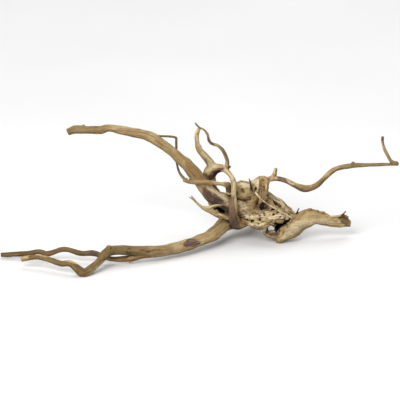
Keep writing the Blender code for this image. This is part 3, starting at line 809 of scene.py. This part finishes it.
def follow(points, routes):
    """For each point the nearest limb, the place along and across it, and how near the next one is."""
    size = len(points)
    best = np.full(size, FAR)
    second = np.full(size, FAR)
    which = np.zeros(size, int)
    fibre = np.zeros((size, 3))
    thick = np.ones(size)
    for index, (name, centres, radii) in enumerate(routes):
        low = (centres - radii[:, None]).min(axis=0) - ROUTE_MARGIN
        high = (centres + radii[:, None]).max(axis=0) + ROUTE_MARGIN
        near = np.flatnonzero(((points > low) & (points < high)).all(axis=1))
        if not len(near):
            continue
        tangents, sides, crosses = along_frames(centres)
        thinner = DEPTH_RATIO.get(name, 1) ** -2 - 1
        arc = np.concatenate([[0], np.cumsum(np.linalg.norm(np.diff(centres, axis=0), axis=1))])
        for part in np.array_split(near, len(near) * len(centres) // MOST_PAIRS + 1):
            away = points[part][:, None] - centres[None]
            gaps = np.sqrt((away * away).sum(axis=2) + thinner * (away @ AWAY) ** 2) - radii
            k = gaps.argmin(axis=1)
            rows = np.arange(len(part))
            gap, offset = gaps[rows, k], away[rows, k]
            onward, aside, across = ((offset * way[k]).sum(axis=1) for way in (tangents, sides, crosses))
            local = np.stack([arc[k] + onward, aside, across], axis=1)
            closer = gap < best[part]
            won = part[closer]
            second[won] = best[won]
            best[won] = gap[closer]
            which[won] = index
            fibre[won] = local[closer] + FIBRE_SHIFT * index
            thick[won] = radii[k[closer]]
            lost = part[~closer]
            second[lost] = np.minimum(second[lost], gap[~closer])
    return best, second, which, fibre, thick


def finely(chain):
    """The chain with a place at every pixel or so."""
    places = [chain[0]]
    for start, end in zip(chain, chain[1:]):
        steps = max(1, round(math.hypot(end[0] - start[0], end[1] - start[1])))
        for step in range(1, steps + 1):
            places.append(tuple(a + (b - a) * step / steps for a, b in zip(start, end)))
    return places


def lie_of(field, chain):
    """The wood seen along a chain and its half widths, in millimetres, without places that miss it."""
    found = [(field.seen(u, v), half * PHOTO_MM) for u, v, half in finely(chain)]
    found = [pair for pair in found if pair[0] is not None]
    return np.array([spot for spot, _ in found]).reshape(-1, 3), np.array([half for _, half in found])


def mark_front(field):
    """Lays the strands over the front, and cuts its pits and grooves into the wood."""
    for chain, out in STRANDS:
        spots, halves = lie_of(field, chain)
        if len(spots) > 1:
            field.grow(spots - AWAY * (out - halves)[:, None], halves, STRAND_FILLET)
    spots = [field.seen(u, v, *start) for u, v, _, _, _, _, *start in PITS]
    for spot, (_, _, wide, high, turn, deep, *_) in zip(spots, PITS):
        c, s = math.cos(math.radians(turn)), math.sin(math.radians(turn))
        right, up = RIGHTWARD * c + UPWARD * s, UPWARD * c - RIGHTWARD * s
        if spot is not None:
            field.scoop(spot, right, up, (wide * PHOTO_MM, high * PHOTO_MM, deep))
    for chain, deep in GROOVES:
        spots, halves = lie_of(field, chain)
        for sink in np.arange(0, deep if len(spots) > 1 else 0, GROOVE_STEP):
            taper = 1 - GROOVE_TAPER * sink / max(deep, 1)
            field.carve(spots + AWAY * sink, halves * taper, GROOVE_FILLET)


def patches(points, field, marks, shift):
    """How strongly each point lies in one of the patches, with uneven edges."""
    u, v, depth = sight(points)
    u, v = u + shift[0], v + shift[1]
    strength = np.zeros(len(points))
    for most, deep, chain in marks:
        spots = [field.seen(*place[:2]) for place in chain]
        known = [k for k, spot in enumerate(spots) if spot is not None]
        if not known:
            continue
        nearest = [min(known, key=lambda other: abs(other - k)) for k in range(len(spots))]
        found = [spots[k][1] + CENTRE_DEPTH for k in nearest]
        for start, end, near, far in zip(chain, chain[1:], found, found[1:]):
            reach = max(start[2], end[2]) + 1
            close = (u > min(start[0], end[0]) - reach) & (u < max(start[0], end[0]) + reach)
            close &= (v > min(start[1], end[1]) - reach) & (v < max(start[1], end[1]) + reach)
            close = np.flatnonzero(close)
            x, y = u[close] - start[0], v[close] - start[1]
            along = np.array((end[0] - start[0], end[1] - start[1]))
            t = np.clip((x * along[0] + y * along[1]) / (along @ along), 0, 1)
            gap = np.hypot(x - t * along[0], y - t * along[1])
            half = start[2] + (end[2] - start[2]) * t
            behind = np.abs(depth[close] - near - (far - near) * t)
            inside = ramp(half - gap, *PATCH_EDGE) * ramp(deep - behind, *PATCH_BACK)
            strength[close] = np.maximum(strength[close], most * inside)
    return strength


def grow_wood():
    """The lattice with every limb, mass, mark and hair in it, and the routes that made it."""
    field = Field(np.array(cad_low) / MM - BOX_MARGIN, np.array(cad_high) / MM + BOX_MARGIN)
    routes = []

    def grow(name, points, fillet):
        centres, radii = smooth_route(points)
        if fillet == LIMB_FILLET and radii.max() <= TWIG_RADIUS:
            fillet = TWIG_FILLET
        field.grow(centres, radii, fillet, DEPTH_RATIO.get(name, 1))
        routes.append((name, centres, radii))

    for name, points in CROWN.items():
        grow(name, points, CROWN_FILLET)
    for name, points in LIMBS.items():
        grow(name, points, LIMB_FILLET)
    for points in SHEETS:
        grow("flange_sheet", points, SHEET_FILLET)
    for points in CUTS:
        field.carve(*smooth_route(points), CUT_FILLET)
    mark_front(field)
    for name, points in HAIRS.items():
        grow(name, points, TWIG_FILLET)
    return field, routes


def weather(field, routes):
    """The surface with its relief, and what its materials read at each corner."""
    points, faces = field.surface()
    edges = np.concatenate([faces[:, [0, 1]], faces[:, [1, 2]], faces[:, [2, 3]], faces[:, [3, 0]]])
    edges = np.unique(np.sort(edges, axis=1), axis=0)
    for weight in SMOOTHING:
        points = points + weight * (averaged(points, edges) - points)
    best, second, which, fibre, thick = follow(points, routes)

    def by_route(table, in_crown, on_limb, passes, scale=1):
        """Each corner's value by its route's name, evened out."""
        values = [table.get(name, in_crown if name in CROWN else on_limb) for name, _, _ in routes]
        return spread(np.array(values)[which] * scale, edges, passes)

    gnarl = by_route(GNARL, CROWN_GNARL, LIMB_GNARL, GNARL_PASSES)
    swell = by_route({}, CROWN_RELIEF, LIMB_RELIEF, SWELL_PASSES, thick)
    knot = spread(ramp(best - second, -2.2, -0.2), edges, TINT_PASSES)
    slender = np.clip(thick / 4, 0.25, 1)
    normals = corner_normals(points, faces)
    broad = np.array([noise.noise(Vector(point)) for point in points / RELIEF_LENGTH])
    rise = swell * broad
    rise += gnarl * (CRUMB * waves("crumb", points) + FINE_CRUMB * waves("fine_crumb", points))
    rise += slender * SWAY * waves("sway", fibre)
    flutes = waves("flutes", fibre) * (1 - 0.7 * knot)
    rise += slender * (FLUTE + GNARLED_FLUTE * gnarl) * flutes
    split = 1 - np.abs(waves("splits", fibre)) * 2
    split = ramp(split, 0.72, 0.96) * (1 - knot) * ramp(waves("split_places", fibre), -0.05, 0.2)
    rise -= slender * (SPLIT + GNARLED_SPLIT * gnarl) * split
    pit = ramp(waves("pits", points) + 0.3 * waves("pit_places", points), 0.5, 0.75)
    rise -= slender * PIT * ramp(gnarl, 0.2, 0.9) * pit
    burrow = ramp(waves("burrows", points) + 0.35 * waves("burrow_edges", points), 0.32, 0.5)
    burrow = burrow * ramp(gnarl, 0.95, 1.2)
    rise -= BURROW * burrow
    bare = points
    points = points + normals * rise[:, None]
    points = np.clip(points, np.array(cad_low) / MM, np.array(cad_high) / MM)
    close, wide = points, points
    for _ in range(CLOSE_PASSES):
        close = averaged(close, edges)
    for _ in range(WIDE_PASSES):
        wide = averaged(wide, edges)
    normals = corner_normals(points, faces)
    hidden = ramp(normals @ AWAY, -0.05, 0.35)
    blotch = waves("blotch", bare) + 0.35 * waves("blotch_edge", bare) + 0.2 * waves("blotch_fray", bare)
    bloom = waves("bloom", bare) + 0.35 * waves("bloom_edge", bare) + 0.2 * waves("bloom_fray", bare)
    shift = [
        0.9 * waves(way, bare) + 0.5 * waves(way + "_fine", bare) for way in ("shift_across", "shift_up")
    ]
    soot = by_route(SOOTY, 0.0, 0.0, TINT_PASSES)
    pale = by_route(PALE_ROUTES, 0.0, 0.0, TINT_PASSES)
    pale = np.maximum(pale, 0.8 * hidden * ramp(gnarl, 0.4, 0.9) * ramp(-bloom, 0.0, 0.3))
    stain = 0.85 * hidden * ramp(blotch, 0.3, 0.36)
    rust = 0.7 * hidden * ramp(bloom, 0.24, 0.42)
    facts = {
        "knot": knot,
        # Above 0 in hollows, below 0 on ridges: the material paints shade into the hollows and a highlight
        # onto the ridges.
        "dent": ((close - points) * normals).sum(axis=1) + 0.5 * ((wide - points) * normals).sum(axis=1),
        # How far the corner lies inside a limb's own surface, in the carved pits, grooves and cavities: the
        # material paints near-black shade there.
        "deep_hollow_shade": np.clip(-best - 0.6, 0, None),
        "pit": np.maximum(pit * ramp(gnarl, 0.2, 0.9), burrow),
        "split": split,
        "stain": np.maximum(stain, patches(bare, field, STAINS, shift)),
        "rust": np.maximum(rust, patches(bare, field, RUSTS, shift)),
        "pale": pale + (1 - hidden) * patches(bare, field, PALES, shift),
        "dim": patches(bare, field, DIMS, shift),
        # Soot-dark twigs and marks, and painted shade in the deep cavities and grooves of the crown.
        "soot": np.maximum(soot, patches(bare, field, SOOT_AND_SHADE_PATCHES, shift)),
        # How much the corner faces downward: the material paints shade onto the downward faces.
        "under": ramp(-normals[:, 2], -0.35, 0.9),
    }
    return points, faces, fibre, facts


def wood_object(name, points, faces, fibre, facts):
    data = bpy.data.meshes.new(name)
    data.from_pydata([], [], [])
    data.vertices.add(len(points))
    data.vertices.foreach_set("co", (points * MM).astype(np.float32).ravel())
    data.loops.add(faces.size)
    data.loops.foreach_set("vertex_index", faces.ravel().astype(np.int32))
    data.polygons.add(len(faces))
    data.polygons.foreach_set("loop_start", np.arange(0, faces.size, 4, dtype=np.int32))
    data.polygons.foreach_set("loop_total", np.full(len(faces), 4, dtype=np.int32))
    data.update(calc_edges=True)
    data.validate()
    layer = data.attributes.new("fibre", "FLOAT_VECTOR", "POINT")
    layer.data.foreach_set("vector", fibre.astype(np.float32).ravel())
    for fact, values in facts.items():
        layer = data.attributes.new(fact, "FLOAT", "POINT")
        layer.data.foreach_set("value", values.astype(np.float32))
    made = bpy.data.objects.new(name, data)
    bpy.context.scene.collection.objects.link(made)
    thin = made.modifiers.new("thin", "DECIMATE")
    thin.ratio = min(1, MOST_TRIANGLES / (2 * len(faces)))
    bpy.context.view_layer.update()
    made.data = bpy.data.meshes.new_from_object(made.evaluated_get(bpy.context.evaluated_depsgraph_get()))
    made.modifiers.clear()
    bpy.data.meshes.remove(data)
    made.data.shade_smooth()
    return made


class Nodes:
    """Short calls for a material's nodes."""

    def __init__(self, name):
        self.material = bpy.data.materials.new(name)
        self.material.use_nodes = True
        self.tree = self.material.node_tree
        self.shader = self.tree.nodes["Principled BSDF"]

    def link(self, value, socket):
        if isinstance(value, bpy.types.NodeSocket):
            self.tree.links.new(value, socket)
        elif socket.type == "RGBA":
            socket.default_value = (*value[:3], 1)
        else:
            socket.default_value = value

    def add(self, kind, output, inputs, **settings):
        """The given output of a new node with those settings and inputs."""
        node = self.tree.nodes.new("ShaderNode" + kind)
        for name, value in settings.items():
            setattr(node, name, value)
        for socket, value in inputs.items():
            self.link(value, node.inputs[socket])
        return node.outputs[output]

    def fact(self, name):
        return self.add("Attribute", "Vector" if name == "fibre" else "Fac", {}, attribute_name=name)

    def place(self):
        return self.add("TexCoord", "Object", {})

    def grain(self, vector, scale, detail, roughness, distortion=0.0):
        shape = {"Scale": scale, "Detail": detail, "Roughness": roughness, "Distortion": distortion}
        return self.add("TexNoise", "Fac", {"Vector": vector, **shape})

    def stretched(self, fibre, along, across, detail, roughness, distortion=0.0):
        """Grain with that many waves to a millimetre along the fibre and across it."""
        inputs = {0: fibre, 1: (along, across, across)}
        scaled = self.add("VectorMath", "Vector", inputs, operation="MULTIPLY")
        return self.grain(scaled, 1, detail, roughness, distortion)

    def ramp(self, value, low, high, to_low=0.0, to_high=1.0):
        inputs = {"Value": value, "From Min": low, "From Max": high, "To Min": to_low, "To Max": to_high}
        return self.add("MapRange", "Result", inputs, interpolation_type="SMOOTHSTEP")

    def math(self, operation, a, b=0.0):
        return self.add("Math", "Value", {0: a, 1: b}, operation=operation)

    def mix(self, share, a, b, blend="MIX"):
        inputs = {"Factor": share, "A": a, "B": b}
        return self.add("Mix", "Result", inputs, data_type="RGBA", blend_type=blend)

    def tint(self, share, colour, factors):
        return self.mix(share, colour, factors, "MULTIPLY")

    def bump(self, height, strength, distance, **normal):
        inputs = {"Height": height, "Strength": strength, "Distance": distance, **normal}
        return self.add("Bump", "Normal", inputs)


def srgb(red, green, blue):
    return tuple(
        (c / 255 / 12.92) if c / 255 <= 0.04045 else ((c / 255 + 0.055) / 1.055) ** 2.4
        for c in (red, green, blue)
    )


# Colours of the wood.
DULL_TAN = srgb(160, 136, 92)
LIGHT_TAN = srgb(184, 162, 118)
BLEACHED = srgb(212, 195, 160)
LINE_BROWN = srgb(118, 88, 50)
THREAD_BROWN = srgb(132, 104, 66)
THREAD_PALE = srgb(210, 192, 150)
DARK_RUST = srgb(112, 78, 46)
LIGHT_RUST = srgb(150, 114, 72)
DARK_STAIN = srgb(78, 57, 49)
LIGHT_STAIN = srgb(112, 88, 76)
# Near-black of soot-dark wood, also used as painted shade in the deep cavities.
SOOT_AND_SHADE_BLACK = srgb(40, 32, 29)

# What the colour is multiplied by where the wood is darker or lighter. The tints for cracks, hollows,
# deep recesses and downward faces are painted shade, and the one for ridges is a painted highlight.
DIMMED = (0.35, 0.305, 0.22)
DASHED = (0.55, 0.47, 0.36)
CRACKED = (0.35, 0.27, 0.2)
HOLLOW_SHADE = (0.3, 0.22, 0.16)
DEEP_SHADE_TINT = (0.08, 0.06, 0.05)
RIDGE_HIGHLIGHT = (1.12, 1.115, 1.1)
SPECKLED = (0.6, 0.55, 0.48)
UNDERSIDE_SHADE = (0.42, 0.37, 0.31)


def washed_wood():
    """Washed moor wood: tan, with darker grain, warm and purple-brown patches, painted near-black shade in
    deep hollows, painted shade in creases and on downward faces, and painted highlights on ridges.
    """
    n = Nodes("washed_moor_wood")
    fibre, here = n.fact("fibre"), n.place()
    streak = n.stretched(fibre, 0.05, 0.75, 4, 0.6, 0.15)
    thread = n.stretched(fibre, 0.14, 2.6, 3, 0.55)
    dash = n.stretched(fibre, 0.3, 1.7, 2, 0.5)
    check = n.stretched(fibre, 0.04, 0.42, 2, 0.5, 0.1)
    cloud = n.grain(here, 70, 3, 0.55, 0.4)
    speck = n.grain(here, 900, 2, 0.6)
    mottle = n.grain(here, 240, 4, 0.6, 0.3)
    banded = n.ramp(streak, 0.35, 0.65)
    lines = n.mix(n.fact("knot"), n.ramp(streak, 0.3, 0.7), n.ramp(mottle, 0.3, 0.7))
    colour = n.mix(n.ramp(cloud, 0.35, 0.68), DULL_TAN, LIGHT_TAN)
    colour = n.mix(n.fact("pale"), colour, BLEACHED)
    colour = n.mix(n.ramp(lines, 0.6, 0.98, 0, 0.6), colour, LINE_BROWN)
    colour = n.mix(n.ramp(thread, 0.54, 0.76, 0, 0.4), colour, THREAD_BROWN)
    colour = n.mix(n.ramp(thread, 0.3, 0.46, 0.3, 0), colour, THREAD_PALE)
    colour = n.tint(n.fact("dim"), colour, DIMMED)
    colour = n.tint(n.ramp(dash, 0.56, 0.7, 0, 0.55), colour, DASHED)
    warm = n.math("MULTIPLY", n.fact("rust"), n.ramp(mottle, 0.25, 0.6, 0.6, 1.0))
    colour = n.mix(warm, colour, n.mix(banded, DARK_RUST, LIGHT_RUST))
    broken = n.ramp(n.math("ADD", mottle, streak), 1.06, 1.26, 1.0, 0.35)
    dusk = n.math("MULTIPLY", n.fact("stain"), broken)
    colour = n.mix(dusk, colour, n.mix(banded, DARK_STAIN, LIGHT_STAIN))
    # Near-black: soot-dark wood, and painted shade in the crown's deep cavities and grooves.
    colour = n.mix(n.ramp(n.fact("soot"), 0, 1), colour, SOOT_AND_SHADE_BLACK)
    check = n.math("ABSOLUTE", n.math("SUBTRACT", check, 0.5))
    check = n.math("MULTIPLY", n.ramp(check, 0.002, 0.016, 1, 0), n.ramp(streak, 0.42, 0.6))
    crack = n.math("MAXIMUM", n.math("MULTIPLY", n.fact("split"), 0.6), check)
    crack = n.math("MAXIMUM", n.fact("pit"), crack)
    # Painted shade in the splits, pits, burrows and checks of the surface.
    colour = n.tint(n.math("MULTIPLY", crack, 0.7), colour, CRACKED)
    # Painted shade in the hollows and creases of the surface.
    colour = n.tint(n.ramp(n.fact("dent"), 0.03, 0.5, 0, 0.9), colour, HOLLOW_SHADE)
    # Painted near-black shade deep in the carved pits, grooves and cavities.
    colour = n.tint(n.ramp(n.fact("deep_hollow_shade"), 0.35, 2.0, 0, 1), colour, DEEP_SHADE_TINT)
    # Painted highlight on the ridges and bumps.
    colour = n.tint(n.ramp(n.fact("dent"), -0.4, -0.06, 1, 0), colour, RIDGE_HIGHLIGHT)
    colour = n.tint(n.ramp(speck, 0.62, 0.8, 0, 0.4), colour, SPECKLED)
    # Painted shade on the downward-facing sides, broken a little by the streaks.
    shade = n.math("MULTIPLY", n.fact("under"), n.ramp(streak, 0.3, 0.7, 0.7, 1.0))
    colour = n.tint(shade, colour, UNDERSIDE_SHADE)
    n.link(colour, n.shader.inputs["Base Color"])
    n.link(n.ramp(mottle, 0.3, 0.7, 0.66, 0.86), n.shader.inputs["Roughness"])
    n.shader.inputs["Specular IOR Level"].default_value = 0.28
    ribs = n.bump(n.math("SUBTRACT", thread, n.math("MULTIPLY", check, 0.5)), 0.55, 0.0009)
    fine = n.bump(mottle, 0.45, 0.0012, Normal=ribs)
    n.link(n.bump(speck, 0.25, 0.0004, Normal=fine), n.shader.inputs["Normal"])
    return n.material


FLOOR_HALF = 6.0
FLOOR_DROP = 0.0004
DULL_PAPER = (0.84, 0.84, 0.84)
LIGHT_PAPER = (0.87, 0.87, 0.87)
LIT_SPOT = Vector((0, 0, 0.05))
SKY_STRENGTH = 0.34

# The lamps: place, power and size.
LAMPS = {
    "key": ((-0.9, -2.0, 1.7), 70, 1.5),
    "top": ((0.3, 0.4, 2.6), 28, 2.2),
    "back": ((1.1, 2.2, 1.9), 16, 1.8),
}

# The camera: its lens and sensor in millimetres, the width that it frames and the middle of that.
LENS = 400.0
SENSOR = 36.0
FRAMED = 0.4523
TARGET = Vector((0.0007, 0.0112, 0.055))
CLIP_END = 100


def studio():
    """A pale floor, soft lights and the camera at the photograph's angle."""
    scene = bpy.context.scene
    data = bpy.data.meshes.new("floor")
    corners = [(x * FLOOR_HALF, y * FLOOR_HALF) for x, y in ((-1, -1), (1, -1), (1, 1), (-1, 1))]
    data.from_pydata([(*corner, -FLOOR_DROP) for corner in corners], [], [(0, 1, 2, 3)])
    floor = bpy.data.objects.new("floor", data)
    scene.collection.objects.link(floor)
    n = Nodes("floor_paper")
    tint = n.grain(n.place(), 3, 2, 0.5)
    n.link(n.mix(n.ramp(tint, 0.3, 0.7), DULL_PAPER, LIGHT_PAPER), n.shader.inputs["Base Color"])
    n.shader.inputs["Roughness"].default_value = 0.9
    n.shader.inputs["Specular IOR Level"].default_value = 0.1
    data.materials.append(n.material)
    for name, (spot, power, size) in LAMPS.items():
        lamp = bpy.data.lights.new(name, "AREA")
        lamp.energy = power
        lamp.size = size
        holder = bpy.data.objects.new(name, lamp)
        holder.location = spot
        holder.rotation_euler = (LIT_SPOT - holder.location).to_track_quat("-Z", "Y").to_euler()
        scene.collection.objects.link(holder)
    world = bpy.data.worlds.new("studio")
    world.use_nodes = True
    sky = world.node_tree.nodes["Background"]
    sky.inputs["Color"].default_value = (1, 1, 1, 1)
    sky.inputs["Strength"].default_value = SKY_STRENGTH
    scene.world = world
    scene.view_settings.view_transform = "Standard"
    camera = bpy.data.objects.new("camera", bpy.data.cameras.new("camera"))
    camera.data.lens = LENS
    camera.data.sensor_width = SENSOR
    camera.data.clip_end = CLIP_END
    back = Vector((0, -math.cos(VIEW_TILT), math.sin(VIEW_TILT)))
    camera.location = TARGET + back * (FRAMED * LENS / SENSOR)
    camera.rotation_euler = (TARGET - camera.location).to_track_quat("-Z", "Y").to_euler()
    scene.collection.objects.link(camera)
    scene.camera = camera


def main():
    field, routes = grow_wood()
    points, faces, fibre, facts = weather(field, routes)
    root = wood_object("wood", points, faces, fibre, facts)
    root.data.materials.append(washed_wood())
    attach(root, "root")
    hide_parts("moor_root")
    studio()


main()
